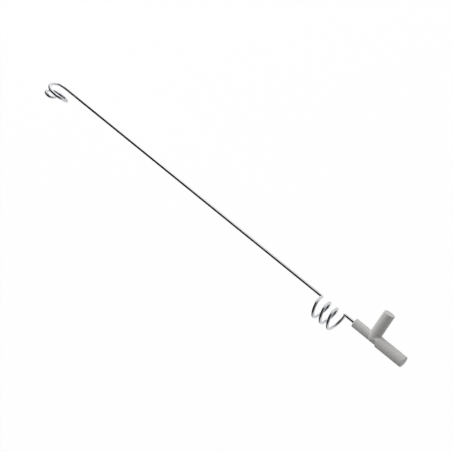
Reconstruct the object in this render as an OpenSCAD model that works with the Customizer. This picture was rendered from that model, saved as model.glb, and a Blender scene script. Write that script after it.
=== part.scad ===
// Spring cord guide: one formed steel wire in a moulded tee plug.
// The origin is the centre of the long plug's free end. +X runs along the wire to the eye,
// the branch plug points to -Y, and +Z is up with the guide laid flat.

/* [Wire] */
// Diameter of the spring steel wire
wire_d = 3; // [2:0.1:4]
// Centreline radius of the tight bend between rod and coil
bend_r = 2.3; // [2.2:0.1:4]
// Length of straight wire that shows between the tee and its bend
stub_len = 10.7; // [4:0.1:30]
// Length of the straight rod between the coil's bend and the eye
rod_len = 345; // [150:1:500]

/* [Spring coil] */
// Mean diameter of the coil, wire centre to wire centre
coil_mean_d = 21.3; // [14:0.1:40]
// Distance from one turn to the next
coil_pitch = 9.8; // [7:0.1:20]
// Number of turns
coil_turns = 3; // [1:1:6]
// Share of the pitch that each upper half turn takes
upper_share = 0.58; // [0.4:0.01:0.6]

/* [Pigtail eye] */
// Mean diameter of the eye, wire centre to wire centre
eye_mean_d = 22.8; // [16:0.1:40]
// Sideways distance from one pass of the eye to the next
eye_pitch = 8.7; // [6:0.1:16]
// Mean diameter of the end curl that keeps the cord in the eye
curl_mean_d = 10.7; // [6:0.1:12]
// Length of straight wire left at the free end
tip_len = 1; // [0.9:0.1:4]
// Edge radius of the free end
tip_edge_r = 0.5; // [0.2:0.1:0.8]

/* [Tee plug] */
// Diameter of the two plugs
plug_d = 12.6; // [11:0.1:18]
// Length of the long plug, from its free end to its shoulder
plug_len = 34.1; // [20:0.1:60]
// Length of the branch plug, from the tee's axis to its free end
branch_len = 30.9; // [16:0.1:60]
// Gap that a socket's rim keeps from the other plug
seat_gap = 0.1; // [0.1:0.1:2]
// How far the hub between the plugs lies inside their diameter
hub_inset = 0.2; // [0.2:0.1:1]
// Diameter of the sleeve that grips the wire
sleeve_d = 10; // [8:0.1:10.8]
// Length of the sleeve, from the shoulder to its end face
sleeve_len = 31.9; // [24:0.1:60]
// Edge radius of the plugs' free ends
plug_edge_r = 0.4; // [0.2:0.1:1.5]
// Edge radius of the sleeve's end
sleeve_edge_r = 0.8; // [0.2:0.1:2]
// Radius that rounds the branch off on the far side of the tee
root_r = 4.7; // [3:0.1:6]

/* [Press fit] */
// Depth of the blind hole that the wire is pressed into
tang_depth = 27; // [12:1:30]
// Interference between the wire and its hole, on the radius
interference = 0.02; // [0.01:0.01:0.05]
// Chamfer on the pressed end of the wire
tang_chamfer = 0.4; // [0.2:0.1:0.8]

/* [Hidden] */
$fn = 32;

UP = [0, 0, 1];
TIPWARD = [1, 0, 0];
PLASTIC = [0.62, 0.61, 0.59];
CHROME = [0.78, 0.79, 0.81];

wire_r = wire_d / 2;
plug_r = plug_d / 2;
sleeve_r = sleeve_d / 2;
hub_r = plug_r - hub_inset;
seat = plug_r + seat_gap;
branch_x = plug_len + seat;
sleeve_end_x = plug_len + sleeve_len;
stub_end = [sleeve_end_x + stub_len, 0, 0];

function unit(v) = v / norm(v);

// The coil's turns are half circles: a lower one from each crown to its foot, and an upper one
// from the foot to the next crown
lower_step = [(1 - upper_share) * coil_pitch, coil_mean_d, 0];
upper_step = [upper_share * coil_pitch, -coil_mean_d, 0];
lower_r = norm(lower_step) / 2;
upper_r = norm(upper_step) / 2;

// The crowns lie one bend radius above the axis of sleeve and rod, so a quarter bend brings the
// wire down onto it. At the tee the wire joins the first half turn exit_angle past its crown,
// where a bend with the same reach does so too.
exit_angle = 2 * atan(bend_r / lower_r);
exit_heading = unit(lower_step) * sin(exit_angle) - UP * cos(exit_angle);
exit_side = unit(exit_heading - exit_heading.x * TIPWARD);
exit_turn = acos(exit_heading.x);
exit_bend_r = bend_r / tan(exit_turn / 2);
first_crown_x = stub_end.x + exit_bend_r * sin(exit_turn) - lower_step.x / 2 * (1 - cos(exit_angle));

// From the rod back to the shank, so that the one odd angle comes last
coil_bends = [
    [bend_r, 90, UP],
    for (k = [coil_turns : -1 : 1])
        each [[upper_r, 180, -unit(upper_step)], [lower_r, k > 1 ? 180 : 180 - exit_angle, -unit(lower_step)]]
];

rod_start = [first_crown_x + coil_turns * coil_pitch + bend_r, 0, 0];
rod_end = rod_start + TIPWARD * rod_len;

// The eye's passes go round over the tip and back under it, and each moves on by eye_pitch
eye_rise = [0, eye_pitch / 2, eye_mean_d];
eye_fall = [0, eye_pitch / 2, -eye_mean_d];
eye_r = norm(eye_rise) / 2;

eye_bends = [
    [eye_r, 180, unit(eye_rise)],
    [eye_r, 180, unit(eye_fall)],
    [eye_r, 90, unit(eye_rise)],
    [curl_mean_d / 2, 180, -TIPWARD]
];

function angle_about(axis, from, to) = atan2(cross(from, to) * axis, from * to);

// Forms round wire one bend after another, as a wire former does. A bend is its centreline
// radius, its angle and the side that its centre lies on. The wire starts at the origin along
// +Y, which stands for heading, and its children go on its end.
module form_wire(bends, heading, side, i = 0) {
    if (i < len(bends)) {
        radius = bends[i][0];
        angle = bends[i][1];
        centre = bends[i][2];
        rotate([0, angle_about(heading, side, centre), 0])
            translate([-radius, 0, 0]) {
                rotate_extrude(angle = angle)
                    translate([radius, 0])
                        circle(r = wire_r);
                rotate([0, 0, angle])
                    translate([radius, 0, 0])
                        form_wire(
                            bends,
                            heading * cos(angle) + centre * sin(angle),
                            centre * cos(angle) - heading * sin(angle),
                            i + 1
                        )
                            children();
            }
    } else {
        children();
    }
}

// Wire that starts at a point along +X, or back along -X
module form_onward(start, bends) {
    translate(start) rotate([90, 90, 0]) form_wire(bends, TIPWARD, UP) children();
}
module form_back(start, bends) {
    translate(start) rotate([-90, 90, 0]) form_wire(bends, -TIPWARD, UP);
}

// Turn the Z axis to +X, -X, +Y or -Y
module along_x() { rotate([0, 90, 0]) children(); }
module against_x() { rotate([0, -90, 0]) children(); }
module along_y() { rotate([-90, 0, 0]) children(); }
module against_y() { rotate([90, 0, 0]) children(); }

// A round bar along Z from the origin, with a rounded edge at its far end
module rounded_bar(radius, length, edge_r) {
    rotate_extrude() {
        square([radius - edge_r, length]);
        square([radius, length - edge_r]);
        intersection() {
            translate([radius - edge_r, length - edge_r]) circle(r = edge_r);
            square([radius, length]);
        }
    }
}

// The branch plug starts clear of the long plug's diameter, on a hub with a rounded root
module branch() {
    translate([branch_x, -seat, 0]) {
        against_y() rounded_bar(plug_r, branch_len - seat, plug_edge_r);
        along_y() rounded_bar(hub_r, seat + root_r, root_r);
    }
}

// On the branch's side the hub runs on to the long plug and mitres into the branch
module saddle() {
    intersection() {
        along_x() cylinder(r = hub_r, h = branch_x);
        translate([plug_len, -plug_d, -plug_d]) cube([branch_x - plug_len, plug_d, 2 * plug_d]);
    }
}

module tee_plug() {
    color(PLASTIC)
        difference() {
            union() {
                translate([plug_len, 0, 0]) against_x() rounded_bar(plug_r, plug_len, plug_edge_r);
                translate([plug_len, 0, 0]) along_x() rounded_bar(sleeve_r, sleeve_len, sleeve_edge_r);
                branch();
                saddle();
            }
            translate([sleeve_end_x - tang_depth, 0, 0])
                along_x() cylinder(r = wire_r - interference, h = tang_depth + 1);
        }
}

module wire_shank() {
    shank_start = sleeve_end_x - tang_depth;
    color(CHROME) {
        translate([shank_start, 0, 0]) along_x() {
            cylinder(r1 = wire_r - tang_chamfer, r2 = wire_r, h = tang_chamfer);
            translate([0, 0, tang_chamfer])
                cylinder(r = wire_r, h = stub_end.x - shank_start - tang_chamfer);
        }
        form_onward(stub_end, [[exit_bend_r, exit_turn, exit_side]]);
    }
}

module spring_coil() {
    color(CHROME) form_back(rod_start, coil_bends);
}

module wire_rod() {
    color(CHROME)
        translate(rod_start) along_x() cylinder(r = wire_r, h = rod_len);
}

module pigtail_eye() {
    color(CHROME)
        form_onward(rod_end, eye_bends)
            along_y() rounded_bar(wire_r, tip_len, tip_edge_r);
}

tee_plug();
wire_shank();
spring_coil();
wire_rod();
pigtail_eye();
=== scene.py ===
"""Spring wire cord guide: chromed wire with a coil and a pigtail eye, in a grey moulded tee."""

import math

import bpy
import numpy as np
from bpy.props import FloatProperty, FloatVectorProperty, IntProperty, PointerProperty
from bpy.types import Operator, Panel, PropertyGroup
from mathutils import Matrix, Vector
from mathutils.bvhtree import BVHTree


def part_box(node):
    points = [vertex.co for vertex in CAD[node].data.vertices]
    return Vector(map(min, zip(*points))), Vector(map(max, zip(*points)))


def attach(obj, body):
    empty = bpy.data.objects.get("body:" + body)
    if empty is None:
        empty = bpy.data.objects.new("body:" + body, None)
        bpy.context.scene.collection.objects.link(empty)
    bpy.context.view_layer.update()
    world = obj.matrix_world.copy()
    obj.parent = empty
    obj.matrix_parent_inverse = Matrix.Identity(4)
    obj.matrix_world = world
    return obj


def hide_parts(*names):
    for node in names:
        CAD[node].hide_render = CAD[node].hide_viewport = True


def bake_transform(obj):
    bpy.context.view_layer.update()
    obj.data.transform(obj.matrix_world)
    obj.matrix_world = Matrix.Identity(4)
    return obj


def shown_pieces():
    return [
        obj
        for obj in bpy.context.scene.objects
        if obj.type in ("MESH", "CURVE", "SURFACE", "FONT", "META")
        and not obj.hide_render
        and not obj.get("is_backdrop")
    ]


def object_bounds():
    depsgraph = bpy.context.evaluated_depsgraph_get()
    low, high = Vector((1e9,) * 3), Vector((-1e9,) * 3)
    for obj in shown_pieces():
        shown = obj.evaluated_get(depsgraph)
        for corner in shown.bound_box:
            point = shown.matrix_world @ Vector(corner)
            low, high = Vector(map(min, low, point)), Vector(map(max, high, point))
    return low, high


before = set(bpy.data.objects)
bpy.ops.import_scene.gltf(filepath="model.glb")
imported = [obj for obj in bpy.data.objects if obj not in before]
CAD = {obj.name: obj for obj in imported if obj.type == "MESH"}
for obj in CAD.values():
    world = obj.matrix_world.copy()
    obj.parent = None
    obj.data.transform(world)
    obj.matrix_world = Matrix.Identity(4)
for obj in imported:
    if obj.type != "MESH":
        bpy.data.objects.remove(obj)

bl_info = {
    "name": "Spring Cord Guide",
    "version": (1, 0, 0),
    "blender": (4, 5, 0),
    "location": "View3D > Sidebar > Cord Guide",
    "description": "Dresses the packed cord guide: moulded tee, chromed wire and sprung coil",
    "category": "Object",
}

CAD_BOX = [list(corner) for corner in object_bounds()]

# Places taken from the CAD model's own nodes, in metres
TEE_LOW, TEE_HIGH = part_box("tee_plug")
ROD_LOW, ROD_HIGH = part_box("wire_rod")
WIRE_R = (ROD_HIGH.z - ROD_LOW.z) / 2

# Places along the wire's axis for the image points, in metres: the branch, then three on the rod
BRANCH_X = 0.0405
ROD_NEAR_X = 0.1654
ROD_MIDDLE_X = 0.2867
ROD_FAR_X = 0.4074

# The coil as it is formed in the source, with the source's sizes in metres: half circles between
# crowns and feet
COIL_D = 0.0213
COIL_PITCH = 0.0098
COIL_TURNS = 3
UPPER_SHARE = 0.58
BEND_R = 0.0023
LOWER_STEP = Vector(((1 - UPPER_SHARE) * COIL_PITCH, COIL_D, 0))
EXIT_ANGLE = 2 * math.atan(BEND_R / (LOWER_STEP.length / 2))
CROWN_0 = Vector((ROD_LOW.x - BEND_R - COIL_TURNS * COIL_PITCH, 0, BEND_R))
UP = Vector((0, 0, 1))
BEND_RINGS = 18

# The moulded surface is welded, made even and smoothed
WELD = 1e-6
SOFTEN_SHARE = 0.5
SOFTEN_ROUNDS = 6

# The mould's parting line, a ridge at the middle plane: where it starts to fall, where it ends
# (both in metres from the plane) and its height beside the grain's
PARTING_TOP = 0.00004
PARTING_FOOT = 0.00018
PARTING_HEIGHT = 1.6

# The colour ramps on the grain run between these two of its values
RAMP_START = 0.3
RAMP_END = 0.7

# The photograph's view, found from the image points below: the camera's axes in the row frame
IMAGE_W = IMAGE_H = 452
VIEW_RIGHT = Vector((-0.74982, -0.53334, -0.39157))
VIEW_UP = Vector((0.60819, -0.78862, -0.09048))
VIEW_BACK = Vector((-0.26054, -0.30599, 0.91569))
AIM = Vector((0.23401, 0.00628, 0.00022))
CAMERA_DISTANCE = 15.0
FIELD = 0.45724
SENSOR = 36.0

# The key softbox, along the camera's axes from the aim (right, up, back), and its side, in metres
KEY_PLACE = (-0.5, 1.2, 0.4)
KEY_SIDE = 1.2

# The floor's side and the place along the object that its middle is under, in metres
FLOOR_SIDE = 6
FLOOR_X = 0.23

# Strength of the plain cards that only reflections see
CARD_GREYS = {"Black Card": 0.02, "Grey Card": 0.15, "White Card": 1.6}

# Each card's grey and corners, the corners along the camera's axes from the aim, in metres
CARDS = {
    "left_card": ("Black Card", ((-2, -6, -6), (-2, -6, 1.2), (-2, 2.4, 1.2), (-2, 2.4, -6))),
    "left_flap": ("Black Card", ((-2, -6, 1.2), (-0.3, -6, 2.6), (-0.3, 2.4, 2.6), (-2, 2.4, 1.2))),
    "front_card": ("Grey Card", ((-0.3, -6, 2.6), (5, -6, 2.6), (5, 2.4, 2.6), (-0.3, 2.4, 2.6))),
    "eye_card": (
        "White Card",
        ((-0.02, 0.66, 0.9), (-0.02, 0.66, -0.9), (0.2, 0.48, -0.9), (0.2, 0.48, 0.9)),
    ),
}


def crown(k):
    """The top of the coil's turn k, on the wire's centreline."""
    return CROWN_0 + Vector((k * COIL_PITCH, 0, 0))


def foot(k):
    """The far side of the coil's turn k, on the wire's centreline."""
    return crown(k) + LOWER_STEP


# ---------------------------------------------------------------- image points

# Name: photograph's (x, y), the place in the row frame that it shows
FEATURES = {
    "coil_crown_0": ((344.8, 314.9), crown(0)),
    "coil_crown_1": ((336.9, 309.1), crown(1)),
    "coil_crown_2": ((329.1, 302.8), crown(2)),
    "coil_crown_3": ((321.8, 296.5), crown(3)),
    "coil_foot_0": ((329.9, 329.2), foot(0)),
    "coil_foot_1": ((322.4, 322.8), foot(1)),
    "coil_foot_2": ((315.0, 316.5), foot(2)),
    "rod_near_the_coil": ((280.0, 262.7), Vector((ROD_NEAR_X, 0, 0))),
    "rod_middle": ((190.0, 188.8), Vector((ROD_MIDDLE_X, 0, 0))),
    "rod_near_the_eye": ((100.0, 116.6), Vector((ROD_FAR_X, 0, 0))),
    "plug_end": ((403.0, 363.0), Vector((TEE_LOW.x, 0, 0))),
    "branch_end": ((390.1, 313.1), Vector((BRANCH_X, TEE_LOW.y, 0))),
    "sleeve_end": ((353.8, 322.1), Vector((TEE_HIGH.x, 0, 0))),
}
EDGES = {"left": 44.5, "right": 406.4, "top": 82.0, "bottom": 367.5}


# ---------------------------------------------------------------- settings


class GuideWireSettings(PropertyGroup):
    tube_rings: IntProperty(
        name="Rings per half turn",
        description="Rings of mesh along each half turn of the coil",
        default=60,
        min=12,
        max=120,
    )
    tube_sides: IntProperty(
        name="Sides round the wire",
        description="Sides of mesh round the coil's wire",
        default=40,
        min=12,
        max=64,
    )
    chrome: FloatVectorProperty(
        name="Chrome",
        description="Colour that the plating reflects",
        subtype="COLOR",
        size=3,
        default=(0.61, 0.62, 0.645),
        min=0,
        max=1,
    )
    polish: FloatProperty(
        name="Roughness",
        description="Mean roughness of the plating",
        default=0.13,
        min=0.02,
        max=0.5,
    )


class GuideTeeSettings(PropertyGroup):
    plastic: FloatVectorProperty(
        name="Plastic",
        description="Colour of the moulded plastic",
        subtype="COLOR",
        size=3,
        default=(0.5, 0.495, 0.484),
        min=0,
        max=1,
    )
    grain: FloatProperty(
        name="Grain",
        description="Size of the moulded grain",
        subtype="DISTANCE",
        unit="LENGTH",
        default=0.00035,
        min=0.0001,
        max=0.002,
    )
    voxel: FloatProperty(
        name="Mesh size",
        description="Mesh size of the moulded surface",
        subtype="DISTANCE",
        unit="LENGTH",
        default=0.00028,
        min=0.0002,
        max=0.001,
    )


class GuideStageSettings(PropertyGroup):
    backdrop: FloatVectorProperty(
        name="Floor",
        description="Colour of the floor",
        subtype="COLOR",
        size=3,
        default=(0.9, 0.9, 0.9),
        min=0,
        max=1,
    )
    key_power: FloatProperty(
        name="Key light",
        description="Power of the large soft light",
        subtype="POWER",
        unit="POWER",
        default=22.0,
        min=0,
        max=200,
    )
    fill: FloatProperty(
        name="Fill",
        description="Strength of the even light from all round",
        default=0.42,
        min=0,
        max=2,
    )
    drop: FloatProperty(
        name="Floor drop",
        description="How far the floor lies below the object",
        subtype="DISTANCE",
        unit="LENGTH",
        default=0.2,
        min=0,
        max=1,
    )
    backdrop_glow: FloatProperty(
        name="Backdrop glow",
        description="Share of the floor's white that no shadow darkens",
        subtype="FACTOR",
        default=0.975,
        min=0,
        max=1,
    )


# ---------------------------------------------------------------- helpers


def deselect():
    """Leaves nothing selected and nothing active."""
    if bpy.context.mode != "OBJECT":
        bpy.ops.object.mode_set(mode="OBJECT")
    bpy.ops.object.select_all(action="DESELECT")
    bpy.context.view_layer.objects.active = None


def make_active(obj):
    """Selects one object alone."""
    deselect()
    obj.select_set(True)
    bpy.context.view_layer.objects.active = obj


def dress(obj, material):
    """Gives a piece its material in one slot."""
    obj.data.materials.clear()
    obj.data.materials.append(material)


def new_material(name):
    """An empty node material with its Principled BSDF."""
    made = bpy.data.materials.new(name)
    made.use_nodes = True
    return made, made.node_tree, made.node_tree.nodes["Principled BSDF"]


def value_group(name, inputs, outputs):
    """An empty shader node group with named inputs {name: default} and outputs."""
    group = bpy.data.node_groups.new(name, "ShaderNodeTree")
    for label, default in inputs.items():
        kind = "NodeSocketVector" if default is None else "NodeSocketFloat"
        sock = group.interface.new_socket(name=label, in_out="INPUT", socket_type=kind)
        if default is not None:
            sock.default_value = default
    for label in outputs:
        group.interface.new_socket(name=label, in_out="OUTPUT", socket_type="NodeSocketFloat")
    return group, group.nodes.new("NodeGroupInput"), group.nodes.new("NodeGroupOutput")


def surface_grain():
    """Fine speckle over slow patches, from 0 to 1: moulded grain, or the haze on plating."""
    if "Surface Grain" in bpy.data.node_groups:
        return bpy.data.node_groups["Surface Grain"]
    group, start, end = value_group(
        "Surface Grain",
        {"Vector": None, "Grain Scale": 2500.0, "Patch Scale": 120.0, "Patch Share": 0.4},
        ("Grain", "Patches", "Both"),
    )
    fine = group.nodes.new("ShaderNodeTexNoise")
    fine.inputs["Detail"].default_value = 3
    slow = group.nodes.new("ShaderNodeTexNoise")
    slow.inputs["Detail"].default_value = 2
    both = group.nodes.new("ShaderNodeMix")
    link = group.links.new
    link(start.outputs["Vector"], fine.inputs["Vector"])
    link(start.outputs["Grain Scale"], fine.inputs["Scale"])
    link(start.outputs["Vector"], slow.inputs["Vector"])
    link(start.outputs["Patch Scale"], slow.inputs["Scale"])
    link(start.outputs["Patch Share"], both.inputs[0])
    link(fine.outputs["Fac"], both.inputs[2])
    link(slow.outputs["Fac"], both.inputs[3])
    link(fine.outputs["Fac"], end.inputs["Grain"])
    link(slow.outputs["Fac"], end.inputs["Patches"])
    link(both.outputs[0], end.inputs["Both"])
    return group


def place_group(tree, group, **values):
    """Puts a node group on Object coordinates into a material, and returns both nodes."""
    node = tree.nodes.new("ShaderNodeGroup")
    node.node_tree = group
    coords = tree.nodes.new("ShaderNodeTexCoord")
    tree.links.new(coords.outputs["Object"], node.inputs["Vector"])
    for label, value in values.items():
        node.inputs[label.replace("_", " ")].default_value = value
    return node, coords


def ranged(tree, source, low, high):
    """A value from 0 to 1 spread from low to high."""
    node = tree.nodes.new("ShaderNodeMapRange")
    node.inputs["To Min"].default_value = low
    node.inputs["To Max"].default_value = high
    tree.links.new(source, node.inputs["Value"])
    return node.outputs["Result"]


def shades(tree, source, colour, low, high):
    """A colour made darker or lighter by a value from 0 to 1."""
    ramp = tree.nodes.new("ShaderNodeValToRGB")
    dark, light = ramp.color_ramp.elements
    dark.position, light.position = RAMP_START, RAMP_END
    dark.color = [c * low for c in colour] + [1]
    light.color = [min(1, c * high) for c in colour] + [1]
    tree.links.new(source, ramp.inputs["Fac"])
    return ramp.outputs["Color"]


def add_bump(tree, shader, height, strength, distance):
    """Lets a height tilt the surface's shading."""
    bump = tree.nodes.new("ShaderNodeBump")
    bump.inputs["Strength"].default_value = strength
    bump.inputs["Distance"].default_value = distance
    tree.links.new(height, bump.inputs["Height"])
    tree.links.new(bump.outputs["Normal"], shader.inputs["Normal"])


def chrome_material(settings):
    """Bright plate on drawn wire: clear reflections, faint haze and fine drawing marks."""
    if "Chromed Wire" in bpy.data.materials:
        return bpy.data.materials["Chromed Wire"]
    made, tree, shader = new_material("Chromed Wire")
    grain, _ = place_group(
        tree, surface_grain(), Grain_Scale=1800.0, Patch_Scale=160.0, Patch_Share=0.5
    )
    shader.inputs["Metallic"].default_value = 1.0
    colour = shades(tree, grain.outputs["Patches"], settings.chrome, low=0.94, high=1.0)
    tree.links.new(colour, shader.inputs["Base Color"])
    haze = ranged(
        tree, grain.outputs["Both"], low=settings.polish * 0.6, high=settings.polish * 1.5
    )
    tree.links.new(haze, shader.inputs["Roughness"])
    add_bump(tree, shader, grain.outputs["Grain"], strength=0.15, distance=0.00001)
    return made


def plastic_material(settings):
    """Grey moulded plastic with a fine matte grain and the mould's parting line."""
    if "Moulded Grey Plastic" in bpy.data.materials:
        return bpy.data.materials["Moulded Grey Plastic"]
    made, tree, shader = new_material("Moulded Grey Plastic")
    grain, coords = place_group(
        tree, surface_grain(), Grain_Scale=1 / settings.grain, Patch_Scale=90.0, Patch_Share=0.35
    )
    colour = shades(tree, grain.outputs["Both"], settings.plastic, low=0.93, high=1.05)
    tree.links.new(colour, shader.inputs["Base Color"])
    matte = ranged(tree, grain.outputs["Both"], low=0.42, high=0.6)
    tree.links.new(matte, shader.inputs["Roughness"])
    shader.inputs["Specular IOR Level"].default_value = 0.4
    split = tree.nodes.new("ShaderNodeSeparateXYZ")
    tree.links.new(coords.outputs["Object"], split.inputs["Vector"])
    far = tree.nodes.new("ShaderNodeMath")
    far.operation = "ABSOLUTE"
    tree.links.new(split.outputs["Z"], far.inputs[0])
    line = tree.nodes.new("ShaderNodeMapRange")
    line.interpolation_type = "SMOOTHSTEP"
    line.inputs["From Min"].default_value = PARTING_TOP
    line.inputs["From Max"].default_value = PARTING_FOOT
    line.inputs["To Min"].default_value = PARTING_HEIGHT
    line.inputs["To Max"].default_value = 0.0
    tree.links.new(far.outputs[0], line.inputs["Value"])
    height = tree.nodes.new("ShaderNodeMath")
    height.operation = "ADD"
    tree.links.new(line.outputs["Result"], height.inputs[0])
    tree.links.new(grain.outputs["Grain"], height.inputs[1])
    add_bump(tree, shader, height.outputs[0], strength=0.35, distance=0.00005)
    return made


def half_turn(start, end, over, first, last, rings):
    """Points along a half circle from start to end over one side, between two angles of it."""
    middle, radius = (start + end) / 2, (end - start).length / 2
    angles = [first + (last - first) * i / rings for i in range(rings + 1)]
    return [middle + (start - middle) * math.cos(a) + over * (radius * math.sin(a)) for a in angles]


def tube_from(name, points, radius, sides):
    """A wire of round section along a route, as a bevelled curve made into a mesh."""
    deselect()
    curve = bpy.data.curves.new(name, "CURVE")
    curve.dimensions = "3D"
    curve.bevel_depth = radius
    curve.bevel_resolution = sides // 4 - 1
    curve.resolution_u = 1
    spline = curve.splines.new("POLY")
    spline.points.add(len(points) - 1)
    for place, point in zip(spline.points, points):
        place.co = (*point, 1)
    obj = bpy.data.objects.new(name, curve)
    bpy.context.scene.collection.objects.link(obj)
    make_active(obj)
    bpy.ops.object.convert(target="MESH")
    obj = bpy.context.view_layer.objects.active
    bpy.ops.object.shade_smooth()
    return obj


# ---------------------------------------------------------------- operators


class CORDGUIDE_OT_moulded_tee(Operator):
    """Make the moulded tee with softened edges and corners, in place of the CAD tee"""

    bl_idname = "cordguide.moulded_tee"
    bl_label = "Moulded Tee"

    def execute(self, context):
        settings = context.scene.guide_tee
        deselect()
        tee = CAD["tee_plug"].copy()
        tee.data = CAD["tee_plug"].data.copy()
        tee.name = tee.data.name = "moulded_tee"
        for key in list(tee.keys()):
            del tee[key]
        tee.parent = None
        tee.matrix_world = Matrix.Identity(4)
        context.scene.collection.objects.link(tee)
        make_active(tee)
        bpy.ops.object.mode_set(mode="EDIT")
        bpy.ops.mesh.select_all(action="SELECT")
        bpy.ops.mesh.remove_doubles(threshold=WELD)
        bpy.ops.mesh.normals_make_consistent(inside=False)
        bpy.ops.object.mode_set(mode="OBJECT")
        remesh = tee.modifiers.new("Even mesh", "REMESH")
        remesh.mode = "VOXEL"
        remesh.voxel_size = settings.voxel
        bpy.ops.object.modifier_apply(modifier=remesh.name)
        soften = tee.modifiers.new("Soft edges", "SMOOTH")
        soften.factor = SOFTEN_SHARE
        soften.iterations = SOFTEN_ROUNDS
        bpy.ops.object.modifier_apply(modifier=soften.name)
        bpy.ops.object.shade_smooth()
        dress(tee, plastic_material(settings))
        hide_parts("tee_plug")
        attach(tee, "holder")
        return {"FINISHED"}


class CORDGUIDE_OT_straight_wire(Operator):
    """Plate the CAD wire where it stays stiff: the shank, the rod and the pigtail eye"""

    bl_idname = "cordguide.straight_wire"
    bl_label = "Plated Wire"

    def execute(self, context):
        chrome = chrome_material(context.scene.guide_wire)
        for name in ("wire_shank", "wire_rod", "pigtail_eye"):
            dress(CAD[name], chrome)
        return {"FINISHED"}


class CORDGUIDE_OT_flex_coil(Operator):
    """Make the coil as two lengths of wire, in place of the CAD coil"""

    bl_idname = "cordguide.flex_coil"
    bl_label = "Flex Coil"

    def execute(self, context):
        settings = context.scene.guide_wire
        rings, sides = settings.tube_rings, settings.tube_sides
        chrome = chrome_material(settings)
        near = half_turn(crown(0), foot(0), -UP, EXIT_ANGLE, math.pi, rings)
        near += half_turn(foot(0), crown(1), UP, 0, math.pi, rings)[1:]
        near += half_turn(crown(1), foot(1), -UP, 0, math.pi, rings)[1:]
        far = half_turn(foot(1), crown(2), UP, 0, math.pi, rings)
        far += half_turn(crown(2), foot(2), -UP, 0, math.pi, rings)[1:]
        far += half_turn(foot(2), crown(3), UP, 0, math.pi, rings)[1:]
        # The last tight bend brings the wire down onto the rod's axis
        corner = crown(3) + Vector((BEND_R, 0, 0))
        quarter = [i * math.pi / 2 / BEND_RINGS for i in range(1, BEND_RINGS + 1)]
        far += [corner - Vector((BEND_R * math.cos(a), 0, BEND_R * math.sin(a))) for a in quarter]
        lengths = (
            ("coil_near_half", near, "holder", "coil", near[0].x + WIRE_R, foot(1).x - WIRE_R),
            ("coil_far_half", far, "coil", "arm", foot(1).x + WIRE_R, crown(3).x - WIRE_R),
        )
        for name, points, before, after, start, end in lengths:
            wire = tube_from(name, points, WIRE_R, sides)
            dress(wire, chrome)
            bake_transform(wire)
            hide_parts("spring_coil")
        return {"FINISHED"}


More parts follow.
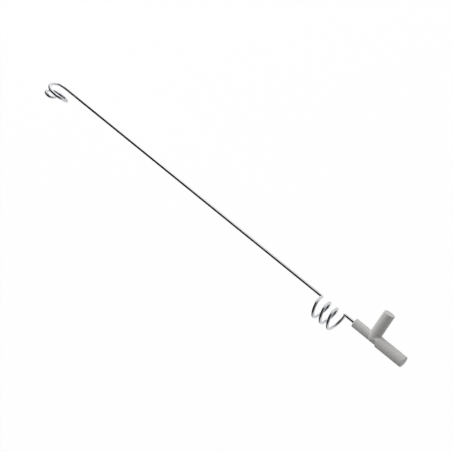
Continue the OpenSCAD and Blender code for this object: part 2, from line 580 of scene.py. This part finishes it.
class CORDGUIDE_OT_studio(Operator):
    """Set the floor, the softbox, the reflection cards, the world and the photograph's camera"""

    bl_idname = "cordguide.studio"
    bl_label = "Studio"

    def execute(self, context):
        settings = context.scene.guide_stage
        self.floor(settings)
        self.softbox(settings)
        self.cards()
        self.world(context, settings)
        self.camera(context)
        return {"FINISHED"}

    def from_aim(self, right, up, back):
        """A place given along the camera's axes from the aim."""
        return AIM + VIEW_RIGHT * right + VIEW_UP * up + VIEW_BACK * back

    def seen_directly(self, tree):
        """1 for what the camera sees, also by way of metal or glass, and 0 for other light."""
        path = tree.nodes.new("ShaderNodeLightPath")
        total = path.outputs["Is Camera Ray"]
        for ray in ("Is Glossy Ray", "Is Transmission Ray"):
            either = tree.nodes.new("ShaderNodeMath")
            either.operation = "MAXIMUM"
            tree.links.new(total, either.inputs[0])
            tree.links.new(path.outputs[ray], either.inputs[1])
            total = either.outputs[0]
        return total

    def floor(self, settings):
        """A white floor, low enough for the arm to swing down, that reflections don't see."""
        deselect()
        level = CAD_BOX[0][2] - settings.drop
        bpy.ops.mesh.primitive_plane_add(size=FLOOR_SIDE, location=(FLOOR_X, 0, level))
        floor = bpy.context.view_layer.objects.active
        floor.name = "studio_floor"
        made, tree, shader = new_material("White Floor")
        shader.inputs["Base Color"].default_value = (*settings.backdrop, 1)
        shader.inputs["Roughness"].default_value = 0.9
        glow = tree.nodes.new("ShaderNodeEmission")
        glow.inputs["Color"].default_value = (1, 1, 1, 1)
        glow.inputs["Strength"].default_value = 1.0
        share = tree.nodes.new("ShaderNodeMath")
        share.operation = "MULTIPLY"
        share.inputs[1].default_value = settings.backdrop_glow
        tree.links.new(self.seen_directly(tree), share.inputs[0])
        mix = tree.nodes.new("ShaderNodeMixShader")
        tree.links.new(share.outputs[0], mix.inputs["Fac"])
        tree.links.new(shader.outputs["BSDF"], mix.inputs[1])
        tree.links.new(glow.outputs["Emission"], mix.inputs[2])
        tree.links.new(mix.outputs["Shader"], tree.nodes["Material Output"].inputs["Surface"])
        floor.data.materials.append(made)
        floor.visible_glossy = False
        floor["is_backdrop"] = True

    def softbox(self, settings):
        """A square soft light that faces the aim and that neither camera nor reflections see."""
        place = self.from_aim(*KEY_PLACE)
        light = bpy.data.lights.new("key_softbox", "AREA")
        light.shape = "SQUARE"
        light.size = KEY_SIDE
        light.energy = settings.key_power
        obj = bpy.data.objects.new("key_softbox", light)
        bpy.context.scene.collection.objects.link(obj)
        obj.location = place
        obj.rotation_mode = "QUATERNION"
        obj.rotation_quaternion = (place - AIM).to_track_quat("Z", "Y")
        obj.visible_camera = False
        obj.visible_glossy = False

    def cards(self):
        """Plain cards that give the plating its dark and light bands."""
        greys = {name: self.card_material(name, grey) for name, grey in CARD_GREYS.items()}
        for name, (grey, corners) in CARDS.items():
            self.card(name, corners, greys[grey])

    def card_material(self, name, grey):
        """A card that shows one plain grey."""
        made, _, shader = new_material(name)
        shader.inputs["Base Color"].default_value = (0, 0, 0, 1)
        shader.inputs["Specular IOR Level"].default_value = 0
        shader.inputs["Emission Color"].default_value = (1, 1, 1, 1)
        shader.inputs["Emission Strength"].default_value = grey
        return made

    def card(self, name, corners, material):
        """A flat card between four corners, seen by nothing but reflections."""
        data = bpy.data.meshes.new(name)
        data.from_pydata([self.from_aim(*corner) for corner in corners], [], [(0, 1, 2, 3)])
        data.materials.append(material)
        card = bpy.data.objects.new(name, data)
        bpy.context.scene.collection.objects.link(card)
        for ray in ("camera", "diffuse", "shadow", "transmission", "volume_scatter"):
            setattr(card, "visible_" + ray, False)
        card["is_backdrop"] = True

    def world(self, context, settings):
        """Even light all round, seen as plain white by the camera."""
        world = context.scene.world or bpy.data.worlds.new("Studio World")
        context.scene.world = world
        world.use_nodes = True
        tree = world.node_tree
        tree.nodes.clear()
        even = tree.nodes.new("ShaderNodeBackground")
        even.inputs["Color"].default_value = (1, 1, 1, 1)
        even.inputs["Strength"].default_value = settings.fill
        white = tree.nodes.new("ShaderNodeBackground")
        white.inputs["Color"].default_value = (1, 1, 1, 1)
        white.inputs["Strength"].default_value = 1.0
        mix = tree.nodes.new("ShaderNodeMixShader")
        out = tree.nodes.new("ShaderNodeOutputWorld")
        tree.links.new(self.seen_directly(tree), mix.inputs["Fac"])
        tree.links.new(even.outputs["Background"], mix.inputs[1])
        tree.links.new(white.outputs["Background"], mix.inputs[2])
        tree.links.new(mix.outputs["Shader"], out.inputs["Surface"])

    def camera(self, context):
        """A long lens along the photograph's line of sight."""
        data = bpy.data.cameras.new("photo_camera")
        data.sensor_fit = "AUTO"
        data.sensor_width = SENSOR
        data.lens = SENSOR * CAMERA_DISTANCE / FIELD
        data.clip_end = 4 * CAMERA_DISTANCE
        cam = bpy.data.objects.new("photo_camera", data)
        context.scene.collection.objects.link(cam)
        axes = Matrix((VIEW_RIGHT, VIEW_UP, VIEW_BACK)).transposed().to_4x4()
        cam.matrix_world = Matrix.Translation(AIM + VIEW_BACK * CAMERA_DISTANCE) @ axes
        context.scene.camera = cam
        context.scene.view_settings.view_transform = "Standard"


class CORDGUIDE_PT_panel(Panel):
    """Lists the cord guide's pieces and settings"""

    bl_label = "Spring Cord Guide"
    bl_idname = "CORDGUIDE_PT_panel"
    bl_space_type = "VIEW_3D"
    bl_region_type = "UI"
    bl_category = "Cord Guide"

    def draw(self, context):
        scene = context.scene
        for group, operators in (
            (scene.guide_tee, ("moulded_tee",)),
            (scene.guide_wire, ("straight_wire", "flex_coil")),
            (scene.guide_stage, ("studio",)),
        ):
            box = self.layout.box()
            for prop in group.bl_rna.properties:
                if prop.identifier not in ("rna_type", "name"):
                    box.prop(group, prop.identifier)
            for operator in operators:
                box.operator("cordguide." + operator)


CLASSES = (
    GuideWireSettings,
    GuideTeeSettings,
    GuideStageSettings,
    CORDGUIDE_OT_moulded_tee,
    CORDGUIDE_OT_straight_wire,
    CORDGUIDE_OT_flex_coil,
    CORDGUIDE_OT_studio,
    CORDGUIDE_PT_panel,
)


def register():
    for cls in CLASSES:
        bpy.utils.register_class(cls)
    bpy.types.Scene.guide_wire = PointerProperty(type=GuideWireSettings)
    bpy.types.Scene.guide_tee = PointerProperty(type=GuideTeeSettings)
    bpy.types.Scene.guide_stage = PointerProperty(type=GuideStageSettings)


def unregister():
    del bpy.types.Scene.guide_stage
    del bpy.types.Scene.guide_tee
    del bpy.types.Scene.guide_wire
    for cls in reversed(CLASSES):
        bpy.utils.unregister_class(cls)


# ---------------------------------------------------------------- measurements


def shown_surface():
    """Vertices and faces of all the finished pieces, in the row frame."""
    bpy.context.view_layer.update()
    depsgraph = bpy.context.evaluated_depsgraph_get()
    points, faces = [], []
    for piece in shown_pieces():
        done = piece.evaluated_get(depsgraph)
        mesh = done.to_mesh()
        first = len(points)
        points += [done.matrix_world @ v.co for v in mesh.vertices]
        faces += [[first + i for i in p.vertices] for p in mesh.polygons]
        done.to_mesh_clear()
    return points, faces


def image_of(place, cam):
    """Where a place shows in the photograph's frame."""
    local = cam.matrix_world.inverted() @ place
    scale = max(IMAGE_W, IMAGE_H) * cam.data.lens / cam.data.sensor_width / -local.z
    return (
        IMAGE_W / 2 + local.x * scale - cam.data.shift_x * IMAGE_W,
        IMAGE_H / 2 - local.y * scale + cam.data.shift_y * IMAGE_W,
    )


def surface_at(x, y, cam, tree):
    """The place on the object at an image point, or the one nearest the ray if it misses."""
    long_side = max(IMAGE_W, IMAGE_H)
    ray = Vector((
        x - IMAGE_W / 2 + cam.data.shift_x * long_side,
        IMAGE_H / 2 - y + cam.data.shift_y * long_side,
        -long_side * cam.data.lens / cam.data.sensor_width,
    ))
    start = cam.matrix_world.translation
    heading = (cam.matrix_world.to_3x3() @ ray).normalized()
    hit = tree.ray_cast(start, heading)[0]
    return hit or tree.find_nearest(start + heading * CAMERA_DISTANCE)[0]


def write_points():
    """Works out, without keeping it, how far each named thing shows from its point in the
    photograph, in pixels.
    """
    cam = bpy.context.scene.camera
    points, faces = shown_surface()
    tree = BVHTree.FromPolygons(points, faces)
    shown = np.array([image_of(p, cam) for p in points])
    out = {
        "left": [round(float(shown[:, 0].min() - EDGES["left"]), 2), 0],
        "right": [round(float(shown[:, 0].max() - EDGES["right"]), 2), 0],
        "top": [0, round(float(shown[:, 1].min() - EDGES["top"]), 2)],
        "bottom": [0, round(float(shown[:, 1].max() - EDGES["bottom"]), 2)],
    }
    for name, (point, place) in FEATURES.items():
        x, y = image_of(place, cam)
        out[name] = [round(x - point[0], 2), round(y - point[1], 2)]
    for name, (point, place) in FEATURES.items():
        gap = (surface_at(*point, cam, tree) - place).length
        out[name].append(round(1000 * gap, 2))


def main():
    register()
    bpy.ops.cordguide.moulded_tee()
    bpy.ops.cordguide.straight_wire()
    bpy.ops.cordguide.flex_coil()
    bpy.ops.cordguide.studio()
    deselect()
    write_points()


if __name__ == "__main__":
    main()
